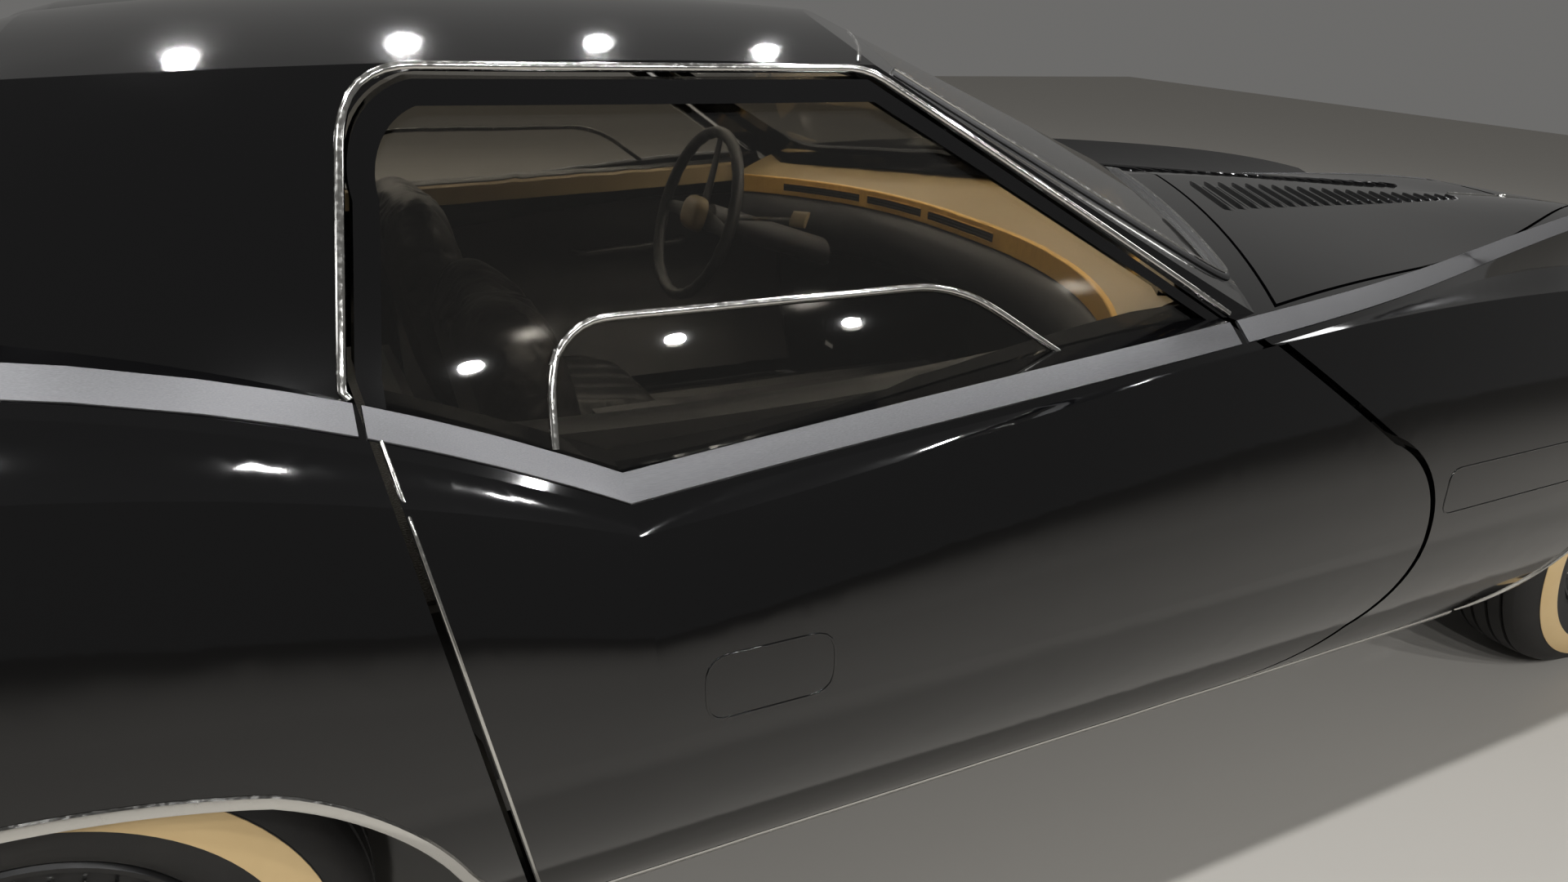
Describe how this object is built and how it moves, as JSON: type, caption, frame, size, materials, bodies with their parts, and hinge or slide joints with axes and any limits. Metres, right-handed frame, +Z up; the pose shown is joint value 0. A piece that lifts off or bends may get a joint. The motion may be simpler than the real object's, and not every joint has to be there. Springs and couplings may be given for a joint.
{
  "type": "concept car",
  "caption": "Long low two-door show car with a flat metal belt band, sail-panel roof, opening doors, hood and deck lid, and steered wheels.",
  "frame": {"origin": "on the floor under the middle of the car's length and width", "axes": "+X forward, +Y left, +Z up"},
  "size_m": [5.1745, 2.0012, 1.3535],
  "materials": {
    "body_paint": "high gloss black enamel with fine polishing marks",
    "chassis": "satin black chassis paint",
    "engine": "painted casting",
    "tinted_glass": "bronze tint",
    "grille_metal": "polished bars",
    "lamp_clear": "fluted clear lens",
    "lamp_red": "red lens",
    "chrome": "bright plating",
    "rocker_metal": "brushed",
    "dash_trim": "tan cover with a bronze metal band",
    "cabin_black": "grained",
    "seat_leather": "pleated hide",
    "tyre": "black rubber with a cream sidewall band",
    "wheel_metal": "plated cover"
  },
  "bodies": {
    "car": {"frame_rails": "chassis", "floor_pan": "chassis", "engine_block": "engine", "front_suspension": "chassis", "rear_axle": "chassis", "fender_left": "body_paint", "fender_right": "body_paint", "nose_panel": "body_paint", "cowl_panel": "body_paint", "quarter_left": "body_paint", "quarter_right": "body_paint", "tail_panel": "body_paint", "sill_left": "rocker_metal", "sill_right": "rocker_metal", "roof_shell": "body_paint", "windshield": "tinted_glass", "backlight": "tinted_glass", "grille": "grille_metal", "headlamps": "lamp_clear", "tail_lamps": "lamp_red", "front_bumper": "chrome", "rear_bumper": "chrome", "dashboard": "dash_trim", "console": "cabin_black", "seat_left": "seat_leather", "seat_right": "seat_leather", "steering_column": "cabin_black"},
    "hood": {"hood": "body_paint"},
    "deck_lid": {"deck_lid": "body_paint"},
    "door_left": {"door_left": "body_paint", "door_glass_left": "tinted_glass"},
    "door_right": {"door_right": "body_paint", "door_glass_right": "tinted_glass"},
    "steering_wheel": {"steering_wheel": "cabin_black"},
    "knuckle_left": {"knuckle_left": "chassis"},
    "knuckle_right": {"knuckle_right": "chassis"},
    "wheel_front_left": {"tyre_front_left": "tyre", "wheel_front_left": "wheel_metal"},
    "wheel_front_right": {"tyre_front_right": "tyre", "wheel_front_right": "wheel_metal"},
    "wheel_rear_left": {"tyre_rear_left": "tyre", "wheel_rear_left": "wheel_metal"},
    "wheel_rear_right": {"tyre_rear_right": "tyre", "wheel_rear_right": "wheel_metal"}
  },
  "joints": [
    {"name": "steer_left", "type": "hinge", "parent": "car", "child": "knuckle_left", "pos_m": [1.661, 0.678, 0.345], "axis": [0, 0, 1], "range_deg": [-30, 30]},
    {"name": "steer_right", "type": "hinge", "parent": "car", "child": "knuckle_right", "pos_m": [1.661, -0.678, 0.345], "axis": [0, 0, 1], "range_deg": [-30, 30]},
    {"name": "steering_wheel_turn", "type": "hinge", "parent": "car", "child": "steering_wheel", "pos_m": [-0.045, 0.38, 0.89], "axis": [0.9511, 0, -0.309], "range_deg": [-480, 480]},
    {"name": "door_left_hinge", "type": "hinge", "parent": "car", "child": "door_left", "pos_m": [0.605, 0.979, 0.6], "axis": [0, 0, -1], "range_deg": [0, 65]},
    {"name": "door_right_hinge", "type": "hinge", "parent": "car", "child": "door_right", "pos_m": [0.605, -0.979, 0.6], "axis": [0, 0, 1], "range_deg": [0, 65]},
    {"name": "hood_hinge", "type": "hinge", "parent": "car", "child": "hood", "pos_m": [2.315, 0, 0.893], "axis": [0, 1, 0], "range_deg": [0, 50]},
    {"name": "deck_hinge", "type": "hinge", "parent": "car", "child": "deck_lid", "pos_m": [-1.653, 0, 1.06], "axis": [0, 1, 0], "range_deg": [0, 60]},
    {"name": "wheel_front_left_spin", "type": "hinge", "parent": "knuckle_left", "child": "wheel_front_left", "pos_m": [1.661, 0.773, 0.345], "axis": [0, 1, 0], "continuous": true},
    {"name": "wheel_front_right_spin", "type": "hinge", "parent": "knuckle_right", "child": "wheel_front_right", "pos_m": [1.661, -0.773, 0.345], "axis": [0, 1, 0], "continuous": true},
    {"name": "wheel_rear_left_spin", "type": "hinge", "parent": "car", "child": "wheel_rear_left", "pos_m": [-1.285, 0.773, 0.345], "axis": [0, 1, 0], "continuous": true},
    {"name": "wheel_rear_right_spin", "type": "hinge", "parent": "car", "child": "wheel_rear_right", "pos_m": [-1.285, -0.773, 0.345], "axis": [0, 1, 0], "continuous": true}
  ],
  "couplings": [
    {"joint": "steer_right", "follows": "steer_left", "ratio": 1},
    {"joint": "steering_wheel_turn", "follows": "steer_left", "ratio": -16}
  ]
}
